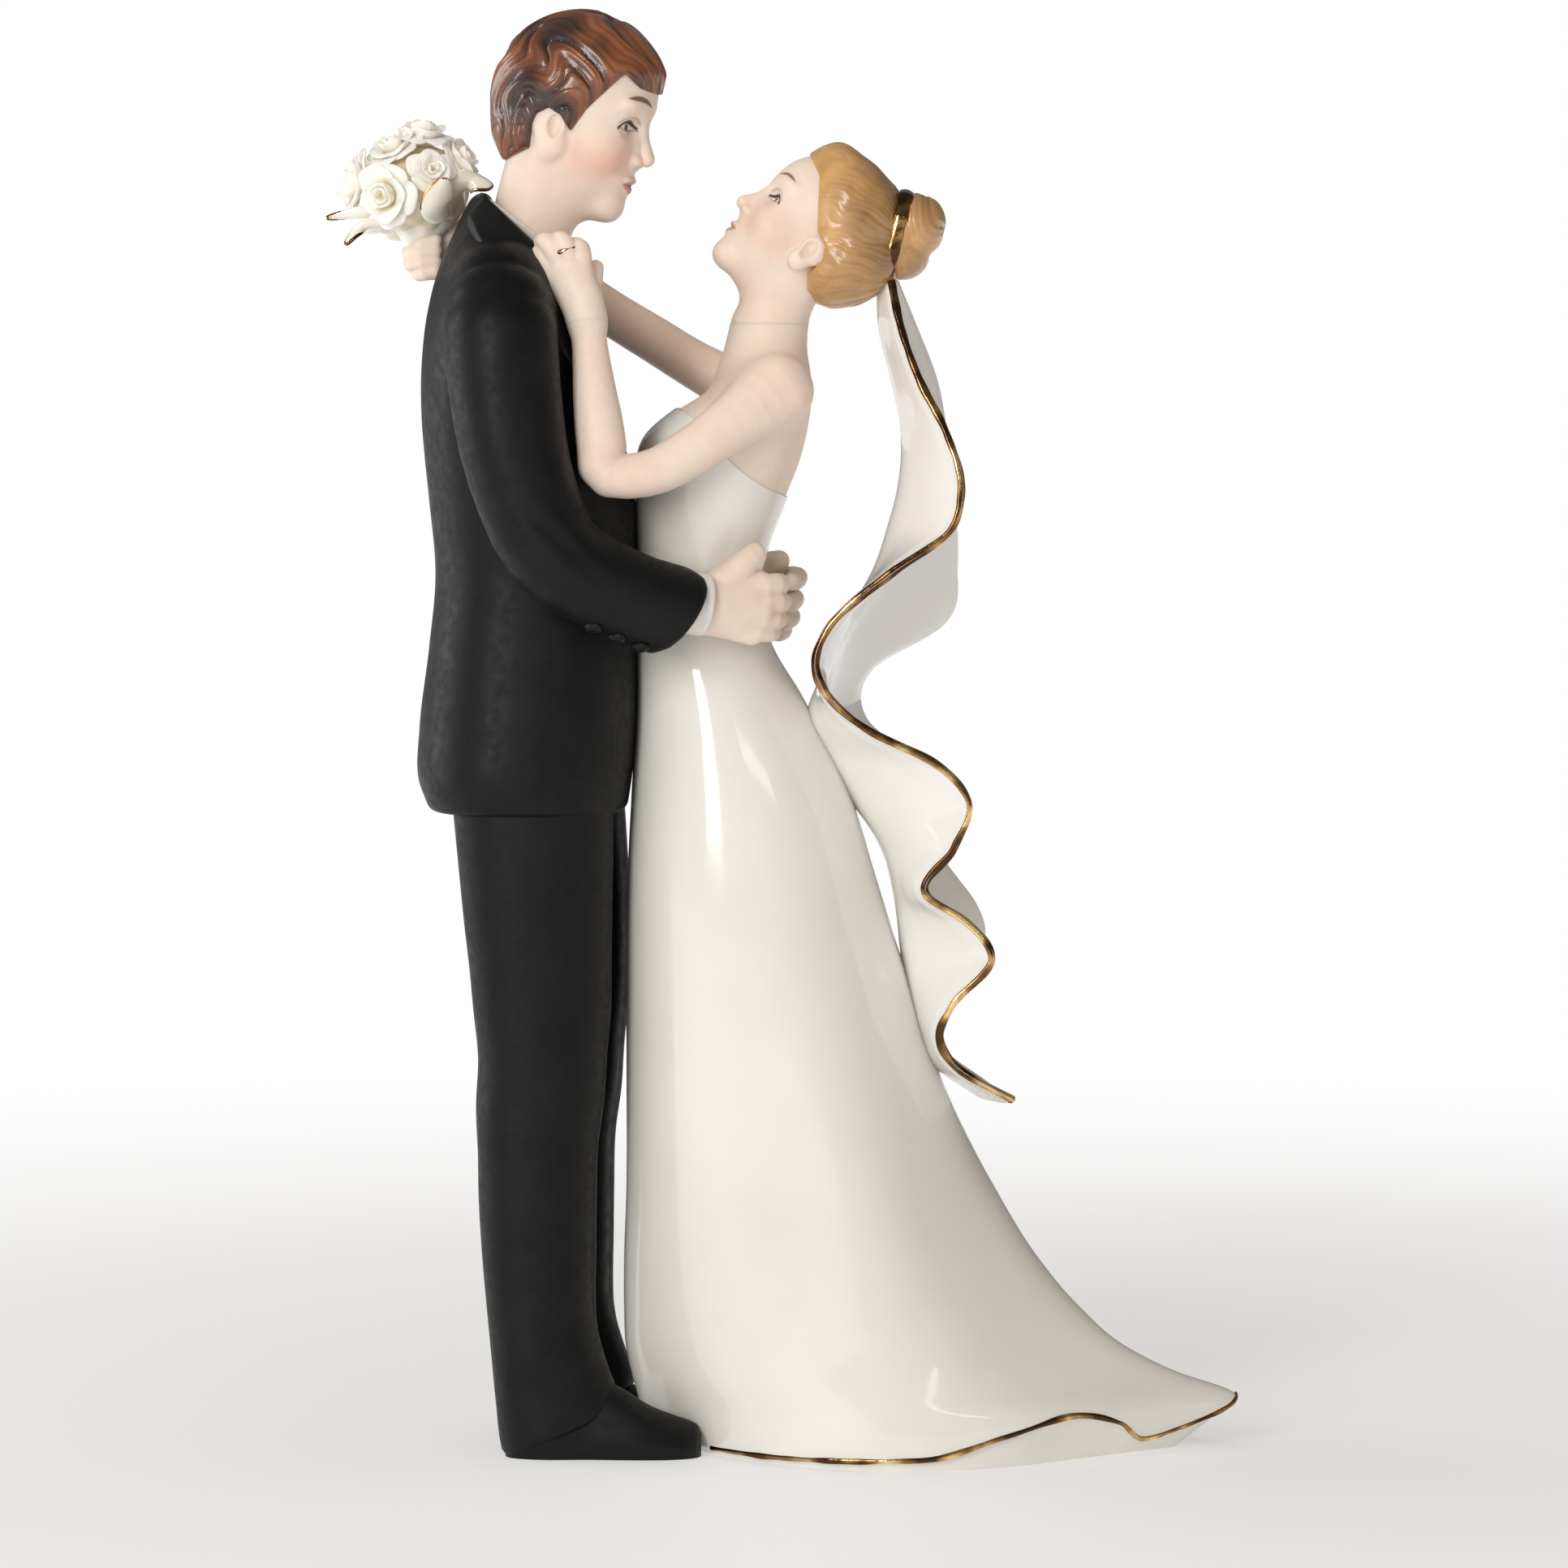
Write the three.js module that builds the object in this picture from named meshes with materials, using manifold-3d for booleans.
import * as THREE from 'three';
import Module from 'manifold-3d';
import { LoftGeometry } from 'three/addons/geometries/LoftGeometry.js';
import { mergeVertices } from 'three/addons/utils/BufferGeometryUtils.js';

// Porcelain wedding cake topper in millimetres. +Z is up and -Y is the side towards the guests.
// The groom stands on the left and faces +X, the bride stands on the right and faces -X.

// Joints and walls
const SEAT_GAP = 0.3;
const WALL = 3;
const VENT_RADIUS = 3.5;
const VENT_X = 22;

// Groom
const JACKET_HEM_Z = 89.5;
const JACKET_BACK_X = -49.5;
const LAPEL_THICKNESS = 0.8;
const SHIRT_DEPTH = 0.7;
const SHIRT_THICKNESS = 2;
const LEG_SPREAD = 8.2;
const LEG_HALF_WIDTH = 8;
const SHOE_HALF_WIDTH = 4.9;
const SLEEVE_RADIUS = 7.6;
const CUFF_RADIUS = 5.1;
const CUFF_LENGTH = 2;
const BUTTON_RADIUS = 1.1;

// Bride
const WAIST_Z = 118;
const ARM_RADIUS = 3.4;
const BUN_RADIUS = 6.2;
const RIBBON_RADIUS = 1;
const VEIL_THICKNESS = 1.8;

// Bouquet
const ROSE_RADIUS = 4.2;
const LEAF_HALF_WIDTH = 2;
const CORE_RADIUS = 7.4;

const wasm = await Module();
wasm.setup();

const V = (x, y, z) => new THREE.Vector3(x, y, z);
const X_AXIS = V(1, 0, 0);
const Y_AXIS = V(0, 1, 0);
const Z_AXIS = V(0, 0, 1);
const { degToRad, lerp, smoothstep } = THREE.MathUtils;
const count = (n, make) => Array.from({ length: n }, (_, i) => make(i));
const power = (value, exponent) => Math.sign(value) * Math.abs(value) ** exponent;

// Smooth curves through rows of numbers, the first of each row being the place along the curve
function smooth(rows) {
  const places = rows.map((row) => row[0]);
  const values = rows.flatMap((row) => row.slice(1));
  const curve = new THREE.CubicInterpolant(places, values, rows[0].length - 1);
  return (place) => Array.from(curve.evaluate(place));
}

function solidOf(geometry) {
  const bare = new THREE.BufferGeometry();
  bare.setAttribute('position', geometry.attributes.position);
  bare.setIndex(geometry.index);
  const merged = mergeVertices(bare, 1e-4);
  return new wasm.Manifold(new wasm.Mesh({
    numProp: 3,
    vertProperties: new Float32Array(merged.attributes.position.array),
    triVerts: new Uint32Array(merged.index.array),
  }));
}

function geometryOf(solid) {
  const { numProp, vertProperties, triVerts } = solid.getMesh();
  const corners = count(vertProperties.length / numProp, (i) => {
    const start = i * numProp;
    return [...vertProperties.slice(start, start + 3)];
  });
  const geometry = new THREE.BufferGeometry();
  geometry.setAttribute('position', new THREE.Float32BufferAttribute(corners.flat(), 3));
  geometry.setIndex([...triVerts]);
  geometry.computeVertexNormals();
  return geometry;
}

const CAPPED = { closed: true, capStart: true, capEnd: true };
const loft = (sections) => solidOf(new LoftGeometry(sections, CAPPED));
const join = (solids) => solids.reduce((whole, solid) => whole.add(solid));

// The same casting with its skin moved outwards, further at sharp edges so that every face clears,
// up to the mitre of the sharpest edge
const LEAST_LEAN = 0.4;
function grown(solid, by) {
  const geometry = geometryOf(solid);
  const { position } = geometry.attributes;
  const { index } = geometry;
  const faces = count(index.count / 3, (i) => {
    const ids = [0, 1, 2].map((k) => index.getX(i * 3 + k));
    const points = ids.map((id) => V(0, 0, 0).fromBufferAttribute(position, id));
    const facing = new THREE.Triangle(...points).getNormal(V(0, 0, 0));
    return { ids, points, facing };
  });
  const outward = count(position.count, () => V(0, 0, 0));
  faces.forEach(({ ids, points, facing }) => ids.forEach((id, k) => {
    const toNext = points[(k + 1) % 3].clone().sub(points[k]);
    const toLast = points[(k + 2) % 3].clone().sub(points[k]);
    outward[id].addScaledVector(facing, toNext.angleTo(toLast));
  }));
  outward.forEach((direction) => direction.normalize());
  const lean = outward.map(() => 1);
  faces.forEach(({ ids, facing }) => ids.forEach((id) => {
    lean[id] = Math.min(lean[id], Math.max(LEAST_LEAN, facing.dot(outward[id])));
  }));
  outward.forEach((direction, i) => {
    const moved = V(0, 0, 0).fromBufferAttribute(position, i).addScaledVector(direction, by / lean[i]);
    position.setXYZ(i, moved.x, moved.y, moved.z);
  });
  return solidOf(geometry);
}

// The largest body of a casting, once its neighbours and the slip joint round them are cut away
function seat(solid, neighbours) {
  const cut = neighbours.reduce((left, other) => left.subtract(grown(other, SEAT_GAP)), solid);
  return cut.decompose().reduce((best, body) => (body.volume() > best.volume() ? body : best));
}

function ring(centre, across, up, sides, squareness = 2) {
  return count(sides, (i) => {
    const angle = (i / sides) * 2 * Math.PI;
    return centre.clone()
      .addScaledVector(across, power(Math.cos(angle), 2 / squareness))
      .addScaledVector(up, power(Math.sin(angle), 2 / squareness));
  });
}

// An upright body from rows of height, lowest x, highest x, half width and slope of the section
function trunk(rows, { sides = 24, steps = 18, middle = 0, squareness = 2 } = {}) {
  const outline = smooth(rows);
  return loft(count(steps + 1, (i) => {
    const height = lerp(rows[0][0], rows.at(-1)[0], i / steps);
    const [low, high, half, slope = 0] = outline(height);
    const across = V((high - low) / 2, 0, (slope * (high - low)) / 2);
    return ring(V((low + high) / 2, middle, height), across, V(0, half, 0), sides, squareness);
  }));
}

// The middle line of a limb from rows of x, y, z and radius
function courseOf(rows) {
  const places = [0];
  rows.slice(1).forEach((row, i) => {
    places.push(places[i] + V(...row).distanceTo(V(...rows[i])));
  });
  const total = places.at(-1);
  const course = smooth(rows.map((row, i) => [places[i], ...row]));
  const point = (place) => V(...course(THREE.MathUtils.clamp(place, 0, total)));
  return { total, course, point };
}

// A limb along its middle line, flattened along one direction if asked
const LIMB = { sides: 12, steps: 12, flat: 1, side: Y_AXIS, roundStart: true, roundEnd: true };
const DOME_ANGLES = [72, 35].map(degToRad);

function limb(rows, options = {}) {
  const { sides, steps, flat, side, roundStart, roundEnd } = { ...LIMB, ...options };
  const { total, course, point } = courseOf(rows);
  const section = (place, lead, size) => {
    const heading = point(place + 0.05).sub(point(place - 0.05)).normalize();
    const up = side.clone().addScaledVector(heading, -side.dot(heading)).normalize();
    const across = up.clone().cross(heading);
    const radius = course(place)[3];
    const centre = point(place).addScaledVector(heading, lead * radius * Math.min(1, flat));
    across.multiplyScalar(radius * size);
    up.multiplyScalar(radius * size * flat);
    return ring(centre, across, up, sides);
  };
  const first = roundStart ? DOME_ANGLES.map((a) => section(0, -Math.sin(a), Math.cos(a))) : [];
  const last = roundEnd ? DOME_ANGLES.map((a) => section(total, Math.sin(a), Math.cos(a))) : [];
  const between = count(steps + 1, (i) => section((i / steps) * total, 0, 1));
  return loft([...first, ...between, ...last.reverse()]);
}

function ball(centre, radii, frame = new THREE.Matrix4(), sides = 18) {
  const geometry = new THREE.SphereGeometry(1, sides, Math.round(sides * 0.6));
  geometry.scale(...radii);
  geometry.translate(...centre);
  geometry.applyMatrix4(frame);
  return solidOf(geometry);
}

// A side-view outline of x and z pairs, taken through the whole depth between two values of y
const HALF_DEPTH = 40;

function sideCut(outline, fromY = -HALF_DEPTH, toY = HALF_DEPTH) {
  const shape = new THREE.Shape(outline.map(([x, z]) => new THREE.Vector2(x, z)));
  const geometry = new THREE.ExtrudeGeometry(shape, { depth: toY - fromY, bevelEnabled: false });
  geometry.rotateX(Math.PI / 2);
  geometry.translate(0, toY, 0);
  return solidOf(geometry);
}

// A front-view outline of y and z pairs, taken along x
function frontCut(outline, fromX, toX) {
  const shape = new THREE.Shape(outline.map(([y, z]) => new THREE.Vector2(y, z)));
  const geometry = new THREE.ExtrudeGeometry(shape, { depth: toX - fromX, bevelEnabled: false });
  geometry.applyMatrix4(new THREE.Matrix4().makeBasis(Y_AXIS, Z_AXIS, X_AXIS));
  geometry.translate(fromX, 0, 0);
  return solidOf(geometry);
}

function frameAt(origin, along, back) {
  const x = along.clone().normalize();
  const z = back.clone().addScaledVector(x, -back.dot(x)).normalize();
  return new THREE.Matrix4().makeBasis(x, z.clone().cross(x), z).setPosition(origin);
}

const rowIn = (frame) => ([x, y, z, radius]) => [...V(x, y, z).applyMatrix4(frame), radius];
const turnIn = (frame, direction) => direction.clone().transformDirection(frame);

// Finishes
function finish(color, roughness, metalness = 0) {
  return new THREE.MeshStandardMaterial({ color, roughness, metalness });
}

const SKIN = finish(0xe9cfc0, 0.6);
const SUIT = finish(0x1b1a1c, 0.55);
const IVORY = finish(0xf1eee6, 0.15);
const BROWN_HAIR = finish(0x4a1d0f, 0.25);
const GOLDEN_HAIR = finish(0xa9793f, 0.25);
const GOLD = finish(0xd2a03a, 0.18, 1);
const SHOE_BLACK = finish(0x121113, 0.25);

const groom = new THREE.Group();
groom.name = 'groom';
const bride = new THREE.Group();
bride.name = 'bride';
const bouquet = new THREE.Group();
bouquet.name = 'bouquet';

function place(group, name, solid, material) {
  const mesh = new THREE.Mesh(geometryOf(solid), material);
  mesh.name = name;
  group.add(mesh);
}

// Heads stand in a frame of their own: face along +X, crown along +Z
function head(frame, { skull, face, jaw, nose, ear, earAt, neck }) {
  const nosePiece = limb(nose.map(rowIn(frame)), { sides: 7, steps: 3 });
  const ears = [-1, 1].map((s) => ball([earAt[0], s * earAt[1], earAt[2]], ear, frame, 8));
  const chin = ball(jaw.at, jaw.radii, frame, 10);
  const cheeks = ball(face.at, face.radii, frame, 14);
  const cranium = ball([0, 0, 0], skull, frame, 14);
  return join([cranium, cheeks, chin, nosePiece, ...ears, limb(neck, { sides: 12, steps: 3 })]);
}

// A hand in its own frame: fingers along +X, back of the hand along +Z. The thumb lies against the palm.
const FINGERS = 4;
const FINGER_JOINTS = [0.45, 0.32, 0.23];
const FINGER_TAPER = 0.08;

function hand(frame, { palm, width, thickness, finger, curl, thumbSide }) {
  const flatness = { flat: thickness / width, side: turnIn(frame, Z_AXIS), sides: 8, steps: 3 };
  const palmRows = [
    [0, 0, 0, width * 0.36],
    [palm * 0.5, 0, 0, width * 0.48],
    [palm, 0, 0, width * 0.5],
  ];
  const radius = width / 7;
  const pitch = radius * 1.75;
  const fingers = count(FINGERS, (i) => {
    const y = (i - (FINGERS - 1) / 2) * pitch;
    const rows = [[palm * 0.8, y, 0, radius]];
    FINGER_JOINTS.forEach((share, joint) => {
      const angle = curl * (joint + 0.5);
      const [x, , z] = rows.at(-1);
      const step = finger * share;
      const size = radius * (1 - FINGER_TAPER * joint);
      rows.push([x + step * Math.cos(angle), y, z - step * Math.sin(angle), size]);
    });
    return limb(rows.map(rowIn(frame)), { sides: 6, steps: 4, side: turnIn(frame, Y_AXIS) });
  });
  const indexY = thumbSide * pitch * ((FINGERS - 1) / 2);
  const thumb = [
    [palm * 0.15, indexY * 0.8, -thickness * 0.1, radius],
    [palm * 0.55, indexY + thumbSide * radius * 0.6, -thickness * 0.2, radius * 1.1],
    [palm * 0.95, indexY + thumbSide * radius * 0.5, -thickness * 0.3, radius * 0.9],
  ];
  const thumbPiece = limb(thumb.map(rowIn(frame)), { sides: 6, steps: 3, side: turnIn(frame, Z_AXIS) });
  return join([limb(palmRows.map(rowIn(frame)), flatness), ...fingers, thumbPiece]);
}

// Groom: jacket, as height, back x, front x and half width
const jacketRows = [
  [JACKET_HEM_Z, JACKET_BACK_X + 0.2, -22, 17.3],
  [JACKET_HEM_Z + 4, JACKET_BACK_X - 1.3, -21.2, 17.8],
  [JACKET_HEM_Z + 11, JACKET_BACK_X - 1.2, -20.7, 17.4],
  [112, JACKET_BACK_X + 0.2, -20.7, 16.2],
  [122, JACKET_BACK_X + 1.1, -20.7, 15.6],
  [132, JACKET_BACK_X + 0.3, -20.9, 16.2],
  [143, JACKET_BACK_X - 0.7, -22.5, 17.2],
  [151, JACKET_BACK_X - 0.7, -25, 17.6],
  [158, JACKET_BACK_X + 0.1, -28, 17.2],
  [164, JACKET_BACK_X + 1.6, -29.4, 14.2],
  [169.5, JACKET_BACK_X + 3.9, -29, 10],
  [176, JACKET_BACK_X + 7, -29, 7.5],
];
const wholeJacket = trunk(jacketRows, { sides: 22, steps: 16, squareness: 2.3 });
const neckline = sideCut([
  [-43.2, 177], [-41.2, 174.4], [-36, 168.6], [-29, 164.2], [-20, 162], [-20, 190], [-43.2, 190],
]);
const HOLLOW_ROWS = 8;
const HOLLOW_MOUTH = 1;
const hollowRows = jacketRows.slice(0, HOLLOW_ROWS).map(([z, back, front, half], i) => (
  [i === 0 ? z - HOLLOW_MOUTH : z, back + WALL, front - WALL, half - WALL]
));
const jacketHollow = trunk(hollowRows, { sides: 12, steps: 5, squareness: 2.2 });
const jacketBlank = wholeJacket.subtract(neckline).subtract(jacketHollow);

// The shirt front lies in a shallow notch between the lapels
const SHIRT_POINT_Z = 141;
const SHIRT_REACH = [-36, -15];
const shirtOutline = (spread, drop) => [
  [-6.5 * spread, 170], [-5 * spread, 160], [0, SHIRT_POINT_Z - drop], [5 * spread, 160], [6.5 * spread, 170],
];
const shirtNotch = frontCut(shirtOutline(1.08, SEAT_GAP * 4), ...SHIRT_REACH);
const shirtWindow = frontCut(shirtOutline(1, 0), ...SHIRT_REACH);
const shirtBack = grown(wholeJacket, -SHIRT_DEPTH - SHIRT_THICKNESS);
const shirtSkin = grown(wholeJacket, -SHIRT_DEPTH).subtract(shirtBack);
const shirtFront = shirtSkin.subtract(neckline).intersect(shirtWindow);
const notch = shirtNotch.subtract(grown(wholeJacket, -SHIRT_DEPTH - SHIRT_THICKNESS - SEAT_GAP));

// Shirt collar, a slanting band round the neck
const collarBand = trunk([
  [166.4, -42, -28.9, 6.9, -0.72],
  [169.5, -41.6, -28.6, 6.7, -0.72],
  [172, -41, -28.2, 6.4, -0.72],
], { sides: 14, steps: 2 });

const groomFrame = new THREE.Matrix4().makeRotationY(degToRad(15)).setPosition(-28.6, 0, 188.3);
const groomHead = head(groomFrame, {
  skull: [10.4, 8.4, 10.2],
  face: { at: [2.6, 0, -7.2], radii: [7.9, 6.7, 9] },
  jaw: { at: [7.2, 0, -13.8], radii: [2.5, 2.6, 2.4] },
  nose: [[10, 0, -2.4, 0.9], [11.2, 0, -5, 1.1], [11.8, 0, -6.9, 1.3]],
  ear: [2.2, 1.6, 3],
  earAt: [-2, 7.1, -6.4],
  neck: [[-35.4, 0, 166.5, 5.6], [-34.6, 0, 172, 5.5], [-32.6, 0, 180, 5.5]],
});
const groomHairCap = ball([-0.3, 0, 0.4], [11.9, 9.9, 11.5], groomFrame, 18);
const groomFaceOpening = sideCut([
  [-10, 188.2], [-16.6, 188.4], [-21.3, 191], [-24.1, 188.3], [-27, 185.9], [-29.4, 183], [-32.3, 186.2],
  [-34.9, 183.7], [-35.4, 180.8], [-39, 179.3], [-46, 178.5], [-46, 160], [-10, 160],
]);
const groomCollar = seat(collarBand, [groomHead]);
const jacket = seat(jacketBlank.subtract(notch), [groomHead, groomCollar]);

// Collar and lapels, a raised band following the neckline and the front edges
const lapelBand = sideCut([
  [-44.6, 171.6], [-41, 165.4], [-34.4, 160.8], [-30, 152], [-24, 141], [-18, 141], [-18, 166], [-29, 166],
  [-36, 170.6], [-40.6, 176],
]);
const lapelSkin = grown(wholeJacket, SEAT_GAP + LAPEL_THICKNESS).subtract(grown(wholeJacket, SEAT_GAP));
const groomNape = sideCut([[-60, 176], [-42.6, 176], [-42.6, 130], [-60, 130]]);
const lapels = lapelSkin.intersect(lapelBand).subtract(neckline).subtract(groomNape);
const lapelOpening = frontCut([[-7, 180], [-5.4, 160], [0, 138], [5.4, 160], [7, 180]], -36, -10);
const lapelSides = lapels.subtract(lapelOpening);
const groomOutline = [[-70, 80], [0, 80], [0, 210], [-70, 210]];
const nearHalf = sideCut(groomOutline, -HALF_DEPTH, 0);
const farHalf = sideCut(groomOutline, 0, HALF_DEPTH);

const tieFrame = frameAt(V(-27.6, 0, 163.6), V(0, 1, 0), V(0.8, 0, 0.6));
const tieRows = [
  [-5.2, 0, 0, 2.2], [-2.4, 0, 0.2, 1.5], [0, 0, 0.3, 1.3], [2.4, 0, 0.2, 1.5], [5.2, 0, 0, 2.2],
];
const tieWings = limb(tieRows.map(rowIn(tieFrame)), {
  flat: 0.5, side: turnIn(tieFrame, Z_AXIS), sides: 7, steps: 6,
});
const tieKnot = ball([0, 0, 0.5], [1.3, 1.6, 1.2], tieFrame, 7);
const bowTie = join([tieWings, tieKnot]);

// Arms run the same on both sides of the body
const mirror = (side) => ([x, y, z, radius]) => [x, -side * y, z, radius];
const sleeveRows = [
  [-38.6, -18, 157.6, SLEEVE_RADIUS],
  [-37.8, -19.6, 147, SLEEVE_RADIUS],
  [-35.6, -20.4, 135.5, SLEEVE_RADIUS - 0.5],
  [-31, -20.2, 126, SLEEVE_RADIUS - 1],
  [-22, -18.8, 120.8, SLEEVE_RADIUS - 1.4],
  [-13.2, -17, 117.9, SLEEVE_RADIUS - 1.2],
];
const sleeveCourse = courseOf(sleeveRows);
const wristAt = V(...sleeveRows.at(-1));
const wristTo = wristAt.clone().sub(V(...sleeveRows.at(-2))).normalize();
const cuffEnd = wristAt.clone().addScaledVector(wristTo, CUFF_LENGTH);
const cuffStart = wristAt.clone().addScaledVector(wristTo, -CUFF_LENGTH);

const bodiceFrontX = -20;
const torsoRows = [
  [WAIST_Z, bodiceFrontX, -2.8, 10.2],
  [WAIST_Z + 6, bodiceFrontX - 0.1, -2.5, 9.9],
  [131.8, bodiceFrontX - 0.2, 0.2, 11.1],
  [138, bodiceFrontX - 0.2, 2.6, 12.3],
  [141.5, bodiceFrontX + 0.8, 3.5, 12.8],
  [144.5, -15.8, 4, 13.2],
  [147.6, -11, 4.2, 13.4],
  [150.5, -8.6, 3.9, 11.8],
  [152.6, -7.6, 3.4, 8],
  [155, -7, 3.1, 5],
];
const torso = trunk(torsoRows, { sides: 20, steps: 15, squareness: 2.1 });
const bustLine = (drop) => [
  [-30, 158 - drop], [-14.8, 145.4 - drop], [8, 126.6 - drop], [8, 100], [-30, 100],
];
const bodice = torso.intersect(sideCut(bustLine(SEAT_GAP * 1.3)));
const shoulders = torso.subtract(sideCut(bustLine(0)));

// Skirt rows: height, left x, right x, half width, x of the widest place, then how round it is to the
// left and to the right
const skirtRows = [
  [0, -18, 56, 23.3, 14, 0.2, 0.35],
  [3, -19.4, 60, 23.6, 14, 0.25, 0.35],
  [7.4, -20.6, 63, 23.2, 13, 0.4, 0.35],
  [10.3, -21.4, 55, 22.6, 11, 0.5, 0.4],
  [13.7, -22.1, 48.2, 22, 9.5, 0.6, 0.45],
  [19.5, -22.4, 41.4, 21.4, 8, 0.75, 0.55],
  [26.3, -22.4, 35.7, 20.8, 6, 0.85, 0.65],
  [35.5, -22.1, 30, 20.1, 4.5, 0.95, 0.75],
  [50.3, -22, 22.6, 19.2, 1.5, 1, 0.9],
  [61.7, -22, 18.6, 18.4, -1, 1, 1],
  [79.8, -21.8, 12.9, 17, -4.5, 1, 1],
  [90.6, -21.3, 9.5, 15.8, -6, 1, 1],
  [104.8, -20.3, 2.7, 13.2, -8.8, 1, 1],
  [112.7, -20, -1.8, 11.3, -11, 1, 1],
  [WAIST_Z - SEAT_GAP, bodiceFrontX, -2.8, 10.2, -11.4, 1, 1],
];
// Hem height round the skirt, by degrees from the tip of the train
const hemRows = [
  [-180, 1.5], [-145, 1], [-90, 1.7], [-74, 2], [-62, 3.7], [-50, 6.1],
  [-40, 4.6], [-32, 2.6], [-24, 3], [-12, 5], [0, 6.6], [14, 5.2],
  [28, 2.8], [44, 4.8], [60, 3.2], [90, 1.8], [130, 1.4], [180, 1.5],
];
const skirtOutline = smooth(skirtRows);
const hemHeight = smooth(hemRows);
const skirtTop = skirtRows.at(-1)[0];

const FOLDS = 6;
const FOLD_DEPTH = 0.9;
const FOLD_TURN = 0.9;
const FOLD_FROM_Z = 5;
const FOLD_TO_Z = 112;
const SQUARE_POWER = 3.2;

function skirtPoint(angle, height, inset = 0) {
  const [left, right, half, widest, leftRound, rightRound] = skirtOutline(height);
  const c = Math.cos(angle);
  const s = Math.sin(angle);
  const round = c > 0 ? rightRound : leftRound;
  const reach = (c > 0 ? right - widest : widest - left) - inset;
  const fading = 1 - smoothstep(height, FOLD_FROM_Z, FOLD_TO_Z);
  const fold = Math.cos(FOLDS * angle + FOLD_TURN) * FOLD_DEPTH * fading;
  const swell = lerp(power(s, SQUARE_POWER), s, round);
  return V(widest + c * reach, swell * (half - inset + fold), height);
}

function skirtRing(heightAt, inset, sides) {
  return count(sides, (i) => {
    const degrees = (i / sides) * 360 - 180;
    return skirtPoint(degToRad(degrees), heightAt(degrees), inset);
  });
}

const skirtSteps = [0, 0.03, 0.06, 0.1, 0.15, 0.21, 0.29, 0.39, 0.5, 0.61, 0.72, 0.82, 0.91, 1];
const SKIRT_SIDES = 40;
const FOOT_INSET = 0.8;
const LIP = 0.4;
const skirtShell = loft([
  skirtRing(() => 0, FOOT_INSET, SKIRT_SIDES),
  skirtRing((degrees) => hemHeight(degrees)[0] - LIP, FOOT_INSET, SKIRT_SIDES),
  ...skirtSteps.map((share) => (
    skirtRing((degrees) => lerp(hemHeight(degrees)[0], skirtTop, share), 0, SKIRT_SIDES)
  )),
]);
const skirtHollow = loft([0, 0.12, 0.3, 0.6, 1].map((share) => (
  skirtRing(() => lerp(WALL * 4, skirtTop - WALL * 3, share), WALL + FOLD_DEPTH, 16)
)));
const vent = ball([VENT_X, 0, 0], [VENT_RADIUS, VENT_RADIUS, WALL * 6], undefined, 16);

// Trousers, as height, back x, front x, half width and slope
const legRows = (shift) => [
  [4.6, -39.2 + shift * 0.4, -23 + shift, 6.3, 0.42],
  [10, -40 + shift * 0.6, -24.6 + shift, 6.6, 0.36],
  [17, -40.8 + shift, -26.2 + shift, 6.8, 0.15],
  [30, -42 + shift, -26.5 + shift, 7, 0],
  [44, -42.5 + shift, -26.1 + shift, 7.3, 0],
  [56, -42.5 + shift, -24.8 + shift, 7.6, 0],
  [76, -44.4 + shift, -24.2 + shift, LEG_HALF_WIDTH - 0.2, 0],
  [JACKET_HEM_Z - SEAT_GAP, -45.8 + shift * 0.5, -24 + shift * 0.5, LEG_HALF_WIDTH, 0],
];

// Shoes, as share of the length, height of the upper and half width
const SOLE = 1.2;
const SOLE_INSET = 0.94;
const UPPER_SQUARENESS = 0.8;

function shoe(heelX, toeX, middle) {
  const reach = toeX - heelX;
  const upper = smooth([
    [0, 8.6, 3.6], [0.12, 10.4, 4.3], [0.45, 11, SHOE_HALF_WIDTH - 0.5], [0.58, 9.6, SHOE_HALF_WIDTH - 0.2],
    [0.74, 6.9, SHOE_HALF_WIDTH], [0.88, 5.2, SHOE_HALF_WIDTH - 0.6], [0.97, 4.3, 2.8], [1, 3, 1.3],
  ]);
  return loft([0, 0.04, 0.12, 0.4, 0.58, 0.74, 0.88, 0.96, 1].map((share) => {
    const [height, half] = upper(share);
    const x = heelX + share * reach;
    const dome = count(9, (j) => {
      const angle = (j / 8) * Math.PI;
      const rise = (height - SOLE) * Math.sin(angle) ** UPPER_SQUARENESS;
      return V(x, middle + half * Math.cos(angle), SOLE + rise);
    });
    const edge = half * SOLE_INSET;
    return [V(x, middle - edge, 0), V(x, middle + edge, 0), ...dome];
  }));
}

const rightLeg = trunk(legRows(0), { sides: 16, steps: 11, middle: -LEG_SPREAD, squareness: 2.2 });
const leftLegWhole = trunk(legRows(2), { sides: 16, steps: 11, middle: LEG_SPREAD, squareness: 2.2 });
const leftLeg = seat(leftLegWhole, [rightLeg]);
const rightShoe = seat(shoe(-39.6, -11.7, -LEG_SPREAD - 0.8), [rightLeg]);
const leftShoe = seat(shoe(-41, -14.3, LEG_SPREAD + 0.8), [leftLeg, rightLeg]);
const skirtCast = skirtShell.subtract(skirtHollow).subtract(vent);
const skirt = seat(skirtCast, [rightLeg, leftLeg, rightShoe, leftShoe, jacket]);

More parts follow.
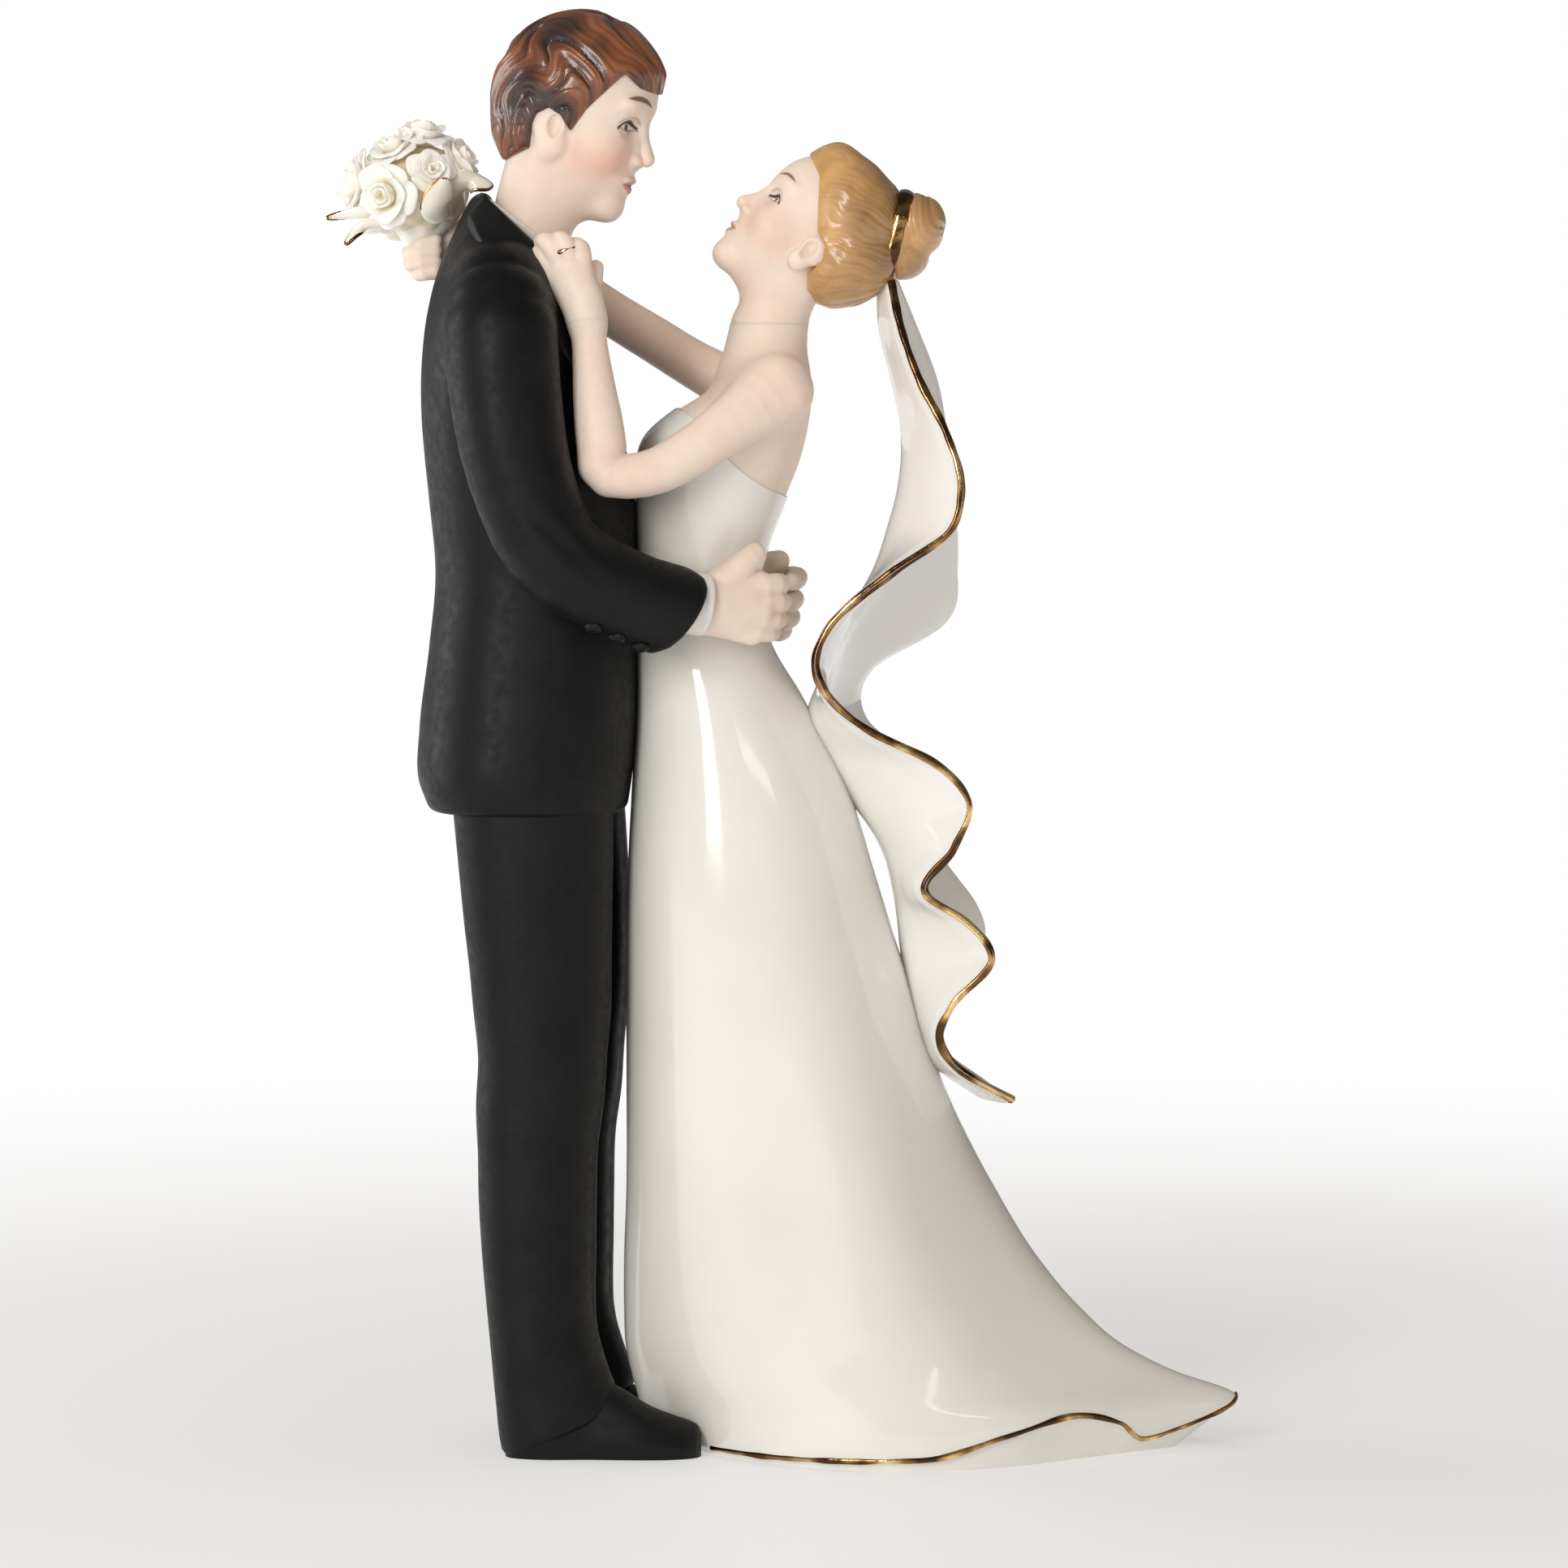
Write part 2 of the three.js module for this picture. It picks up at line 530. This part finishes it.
place(groom, 'groom_jacket', jacket, SUIT);
place(groom, 'groom_right_leg', rightLeg, SUIT);
place(groom, 'groom_left_leg', leftLeg, SUIT);
place(groom, 'groom_right_shoe', rightShoe, SHOE_BLACK);
place(groom, 'groom_left_shoe', leftShoe, SHOE_BLACK);
place(groom, 'groom_head', groomHead, SKIN);
place(groom, 'groom_hair', seat(groomHairCap.subtract(groomFaceOpening), [groomHead]), BROWN_HAIR);
place(groom, 'groom_shirt_collar', groomCollar, IVORY);
const shirt = seat(shirtFront, [groomHead, groomCollar]);
place(groom, 'groom_shirt_front', shirt, IVORY);
const seatedTie = seat(bowTie, [groomHead, groomCollar, shirt, jacket]);
place(groom, 'groom_bow_tie', seatedTie, SUIT);
place(bride, 'bride_skirt', skirt, IVORY);
const seatedBodice = seat(bodice, [jacket]);
place(bride, 'bride_bodice', seatedBodice, IVORY);
place(bride, 'bride_shoulders', shoulders, SKIN);

const brideFrame = new THREE.Matrix4().makeRotationY(degToRad(45))
  .multiply(new THREE.Matrix4().makeRotationZ(Math.PI)).setPosition(5, 0, 170.5);
const brideHeadWhole = head(brideFrame, {
  skull: [10.4, 8.1, 10],
  face: { at: [2.4, 0, -6.2], radii: [7.2, 6.2, 7.8] },
  jaw: { at: [6.2, 0, -11.8], radii: [2.1, 2.2, 2.1] },
  nose: [[9.2, 0, -2, 0.7], [10.2, 0, -4, 0.85], [10.8, 0, -5.6, 1]],
  ear: [2.1, 1.4, 2.5],
  earAt: [-1.7, 7, -5.3],
  neck: [[-2.6, 0, 153.6, 4.6], [-1.4, 0, 158, 4.6], [1.4, 0, 164, 4.8]],
});
const brideHead = seat(brideHeadWhole, [shoulders]);
place(bride, 'bride_head', brideHead, SKIN);

const bunFrame = frameAt(V(15.9, 0, 168.8), V(0.98, 0, -0.18), Z_AXIS);
const bun = ball([3.2, 0, 0], [3.9, BUN_RADIUS, BUN_RADIUS], bunFrame, 14);
const ribbonLoop = new THREE.TorusGeometry(BUN_RADIUS, RIBBON_RADIUS, 7, 20);
ribbonLoop.applyMatrix4(bunFrame.clone().multiply(new THREE.Matrix4().makeRotationY(Math.PI / 2)));
const ribbon = solidOf(ribbonLoop);
const seatedBun = seat(bun, [ribbon]);
const brideHairCap = ball([-0.4, 0, 0.2], [11.9, 9.4, 11.8], brideFrame, 18);
const brideFaceOpening = sideCut([
  [4, 190], [4.3, 179.6], [4.8, 174], [4.2, 168.8], [5, 166], [4.6, 163.6], [2.4, 162.4], [1.6, 150],
  [-20, 150], [-20, 190],
]);
const brideHair = seat(brideHairCap.subtract(brideFaceOpening), [brideHead, ribbon, seatedBun, shoulders]);
place(bride, 'bride_hair', brideHair, GOLDEN_HAIR);
place(bride, 'bride_bun', seatedBun, GOLDEN_HAIR);
place(bride, 'hair_ribbon', ribbon, GOLD);

// Both sleeves, their cuffs and the buttons on the lower seam
const handSize = { palm: 10, width: 9.6, thickness: 4.6, finger: 11, curl: degToRad(26) };
const clasp = { right: { out: 0, drop: 0 }, left: { out: 2.2, drop: 0.8 } };
const BUTTONS = 3;
const BUTTON_PITCH = 2.9;
const BUTTON_FROM_WRIST = 2.6;
const seamDown = V(-0.2, -0.42, -0.88);
const sleeves = {};
const hands = [];
[['right', 1], ['left', -1]].forEach(([name, side]) => {
  const sleeveForm = { sides: 12, steps: 12, roundEnd: false, side: X_AXIS };
  const sleeveWhole = limb(sleeveRows.map(mirror(-side)), sleeveForm);
  const sleeve = seat(sleeveWhole, [jacket, seatedBodice, skirt]);
  sleeves[name] = sleeve;
  place(groom, `groom_${name}_sleeve`, sleeve, SUIT);

  const cuffRows = [[...cuffStart, CUFF_RADIUS], [...cuffEnd, CUFF_RADIUS]].map(mirror(-side));
  const cuffWhole = limb(cuffRows, { sides: 14, steps: 2, roundStart: false, roundEnd: false, side: Z_AXIS });
  const cuff = seat(cuffWhole, [sleeve, seatedBodice, skirt]);
  place(groom, `groom_${name}_cuff`, cuff, IVORY);

  const { out, drop } = clasp[name];
  const handFrame = frameAt(
    V(cuffEnd.x - 1, side * (cuffEnd.y - out * 0.3), cuffEnd.z + 1.2 - drop),
    V(0.86 + out * 0.03, side * 0.5, 0.06),
    V(0.5, -side * 0.86, 0),
  );
  const handWhole = hand(handFrame, { ...handSize, finger: handSize.finger + out, thumbSide: side });
  const seatedHand = seat(handWhole, [cuff, seatedBodice, skirt, ...hands]);
  hands.push(seatedHand);
  place(groom, `groom_${name}_hand`, seatedHand, SKIN);

  count(BUTTONS, (i) => {
    const spot = sleeveCourse.total - BUTTON_FROM_WRIST - i * BUTTON_PITCH;
    const lift = sleeveCourse.course(spot)[3] + BUTTON_RADIUS * 0.2;
    const centre = sleeveCourse.point(spot).addScaledVector(seamDown, lift);
    const radii = [BUTTON_RADIUS, BUTTON_RADIUS, BUTTON_RADIUS];
    const button = ball([centre.x, side * centre.y, centre.z], radii, undefined, 8);
    place(groom, `groom_${name}_button_${i + 1}`, seat(button, [sleeve, cuff]), SUIT);
  });
});

// Bride's arms and hands
const brideHandSize = { palm: 7.4, width: 6.4, thickness: 3.2, finger: 7 };
const leftArmWhole = limb([
  [-1.6, -11.4, 147.4, ARM_RADIUS + 1.4],
  [-7.3, -14.8, 141.8, ARM_RADIUS + 0.8],
  [-15, -17.2, 137.4, ARM_RADIUS + 0.2],
  [-22.4, -18.2, 135.6, ARM_RADIUS],
  [-25.7, -17.6, 139, ARM_RADIUS],
  [-26.7, -16, 148, ARM_RADIUS - 0.2],
  [-27.7, -14, 158, ARM_RADIUS - 0.9],
], { sides: 10, steps: 17, side: Y_AXIS });
const rightArmWhole = limb([
  [-1.6, 11.4, 147.4, ARM_RADIUS + 1.4],
  [-8.1, 14.8, 149.6, ARM_RADIUS + 0.6],
  [-15.6, 16, 155, ARM_RADIUS + 0.1],
  [-23, 15.8, 160, ARM_RADIUS],
  [-30, 14.4, 165.4, ARM_RADIUS],
  [-37.5, 12.8, 169.8, ARM_RADIUS - 0.3],
  [-45, 10.8, 168.6, ARM_RADIUS - 0.9],
], { sides: 10, steps: 14, side: Y_AXIS });
const clothing = [shoulders, seatedBodice, jacket];
const leftArm = seat(leftArmWhole, [...clothing, sleeves.right]);
const rightArm = seat(rightArmWhole, [...clothing, sleeves.left, groomHead]);
place(bride, 'bride_left_arm', leftArm, SKIN);
place(bride, 'bride_right_arm', rightArm, SKIN);

// The lapels are trimmed round the arms that lie over them, and the near hand rests on its lapel
const lapelNeighbours = [groomCollar, seatedTie, leftArm, rightArm, sleeves.right, sleeves.left];
const rightLapel = seat(lapelSides.intersect(nearHalf), lapelNeighbours);
const leftLapel = seat(lapelSides.intersect(farHalf), lapelNeighbours);
place(groom, 'groom_right_lapel', rightLapel, SUIT);
place(groom, 'groom_left_lapel', leftLapel, SUIT);

const leftHandFrame = frameAt(V(-27.8, -13.7, 158.8), V(-2.4, 2.2, 8.2), V(0.3, -0.95, 0.2));
const leftHand = seat(hand(leftHandFrame, { ...brideHandSize, curl: degToRad(34), thumbSide: -1 }), [
  leftArm, sleeves.right, jacket, groomCollar, groomHead, rightLapel,
]);
place(bride, 'bride_left_hand', leftHand, SKIN);
const coneRows = [[-51, 8.4, 160.6, 1.4], [-50.8, 8.4, 166, 2.2], [-50.6, 8.4, 170.4, 4.4]];
const coneWhole = limb(coneRows, { sides: 12, steps: 3, roundEnd: false });
const cone = seat(coneWhole, [rightArm]);
const rightHandFrame = frameAt(V(-46, 10.5, 168.2), V(-0.86, -0.2, -0.46), V(-0.4, 0.2, 0.85));
const fistSize = { ...brideHandSize, palm: 4.6, curl: degToRad(50), thumbSide: 1 };
const rightHand = seat(hand(rightHandFrame, fistSize), [rightArm, jacket, sleeves.left, cone]);
place(bride, 'bride_right_hand', rightHand, SKIN);

// Veil: x of the near edge, the middle fold and the far edge at each height, and the half spread
const veilRows = [
  [49.6, 31.6, 26, 32.4, 14], [54, 24.2, 21.2, 25, 14], [58.6, 21.4, 19.3, 22.9, 14],
  [63, 23, 18, 24, 14], [69.8, 28.5, 16.9, 28.2, 14], [75, 24.6, 16.3, 26.8, 14],
  [78.2, 19.7, 15.8, 24.4, 14], [84.8, 23.3, 13.8, 19.6, 14], [91.5, 25.2, 9.4, 17, 14],
  [96.6, 20.5, 6, 15.6, 14], [101, 11.6, 3.9, 13, 14], [108.3, 4.6, 6.2, 14.2, 14],
  [114.9, 6, 9.4, 22.6, 14], [122.7, 14.9, 13.3, 24.2, 13.8], [128.2, 22.6, 15, 24.1, 13.4],
  [133, 24.2, 15.7, 23.8, 12.8], [142, 22.1, 15.4, 22.5, 11], [148.7, 18.7, 14.6, 21.2, 9],
  [156.5, 16, 13.6, 18.2, 6], [161.6, 14.9, 13.6, 15.6, 3.4],
];
const veilAt = smooth(veilRows);
const veilBottom = veilRows[0][0];
const veilTop = veilRows.at(-1)[0];
const VEIL_STATIONS = 7;
const VEIL_STEPS = 36;
const HANG = 0.62;

function veilRing(height) {
  const [near, middle, far, spread] = veilAt(height);
  const drape = new THREE.CatmullRomCurve3([
    V(near, -spread, height),
    V(lerp(near, middle, HANG), -spread / 2, height),
    V(middle, 0, height),
    V(lerp(far, middle, HANG), spread / 2, height),
    V(far, spread, height),
  ]);
  const stations = count(VEIL_STATIONS, (i) => i / (VEIL_STATIONS - 1));
  const offset = (share, by) => {
    const heading = drape.getTangent(share);
    return drape.getPoint(share).add(V(heading.y, -heading.x, 0).multiplyScalar(by));
  };
  const outer = stations.map((share) => offset(share, VEIL_THICKNESS / 2));
  const inner = stations.map((share) => offset(share, -VEIL_THICKNESS / 2)).reverse();
  return [...outer, ...inner];
}

const veilWhole = loft(count(VEIL_STEPS + 1, (i) => veilRing(lerp(veilBottom, veilTop, i / VEIL_STEPS))));
const veil = seat(veilWhole, [skirt, brideHair, seatedBun, ribbon, shoulders, seatedBodice, ...hands]);
place(bride, 'bride_veil', veil, IVORY);

// Bouquet: cone, core, roses and leaves
place(bouquet, 'bouquet_cone', cone, IVORY);
const bouquetAt = V(-51.2, 8.4, 175.4);
const coreRadii = [CORE_RADIUS, CORE_RADIUS, CORE_RADIUS * 0.7];
const core = seat(ball([...bouquetAt], coreRadii, undefined, 12), [cone]);
place(bouquet, 'bouquet_core', core, IVORY);

// A rose, as height above its foot, radius and depth of the petals, all in rose radii
const ROSE_SIDES = 10;
const PETALS = 5;
const PETAL_TWIST = 0.4;
const ROSE_SINK = 0.75;

function rose(at, size) {
  const profile = [
    [0, 0.3, 0], [0.3, 0.75, 0.04], [0.75, 1, 0.08], [1.1, 0.98, 0.1], [1.2, 0.78, 0.1],
    [1, 0.62, 0.06], [1.3, 0.48, 0.06], [1.4, 0.14, 0],
  ];
  const outward = at.clone().sub(bouquetAt).normalize();
  const foot = at.clone().addScaledVector(outward, -size * ROSE_SINK);
  const frame = frameAt(foot, outward.clone().cross(Y_AXIS), outward);
  return loft(profile.map(([height, radius, petals], k) => count(ROSE_SIDES, (i) => {
    const angle = (i / ROSE_SIDES) * 2 * Math.PI;
    const reach = size * radius * (1 + petals * Math.cos(PETALS * angle + k * PETAL_TWIST));
    return V(reach * Math.cos(angle), reach * Math.sin(angle), size * height).applyMatrix4(frame);
  })));
}

const roseSpots = [
  [-56.4, 0.4, 174.6], [-47.8, 1.2, 178.2], [-53.8, 5.4, 181.2],
  [-48.6, 9.8, 181.6], [-59, 8.4, 176.8], [-44.4, 8.8, 178.4],
  [-57, 15, 178.4], [-47.4, 16.2, 176.8], [-54.8, 16.4, 171.8],
];
const roses = [];
roseSpots.forEach((spot, i) => {
  const bloom = seat(rose(V(...spot), ROSE_RADIUS), [core, cone, rightArm, rightHand, ...roses]);
  roses.push(bloom);
  place(bouquet, `rose_${i + 1}`, bloom, IVORY);
});

const leafSpots = [
  [[-54, 3, 171.4], [-58.6, 2.6, 171.6], [-63.4, 3, 172]],
  [[-52.6, 4, 170.8], [-57, 3, 169.6], [-60.6, 2.6, 168.4]],
  [[-46.4, 5.4, 172.6], [-43.8, 6.6, 173.4], [-41, 8.6, 175]],
  [[-50.4, 1.6, 170.6], [-50.2, -0.6, 173], [-49.8, -1, 175.4]],
  [[-47, 13, 171], [-44, 14.4, 171.8], [-41, 16, 173]],
  [[-56, 13.6, 170], [-59.4, 16, 169.6], [-62.6, 18, 170]],
];
const leafShares = [0.5, 1, 0.15];
const LEAF_FLATNESS = 0.32;
const leafNeighbours = [core, cone, rightHand, rightArm, groomHead, jacket, ...roses];
leafSpots.forEach((spots, i) => {
  const rows = spots.map((spot, k) => [...spot, LEAF_HALF_WIDTH * leafShares[k]]);
  const facing = V(...spots[1]).sub(bouquetAt);
  const leafWhole = limb(rows, { sides: 6, steps: 5, flat: LEAF_FLATNESS, side: facing });
  const leaf = seat(leafWhole, leafNeighbours);
  leafNeighbours.push(leaf);
  place(bouquet, `leaf_${i + 1}`, leaf, IVORY);
});

const topper = new THREE.Group();
topper.name = 'wedding_cake_topper';
topper.add(groom, bride, bouquet);

export default topper;
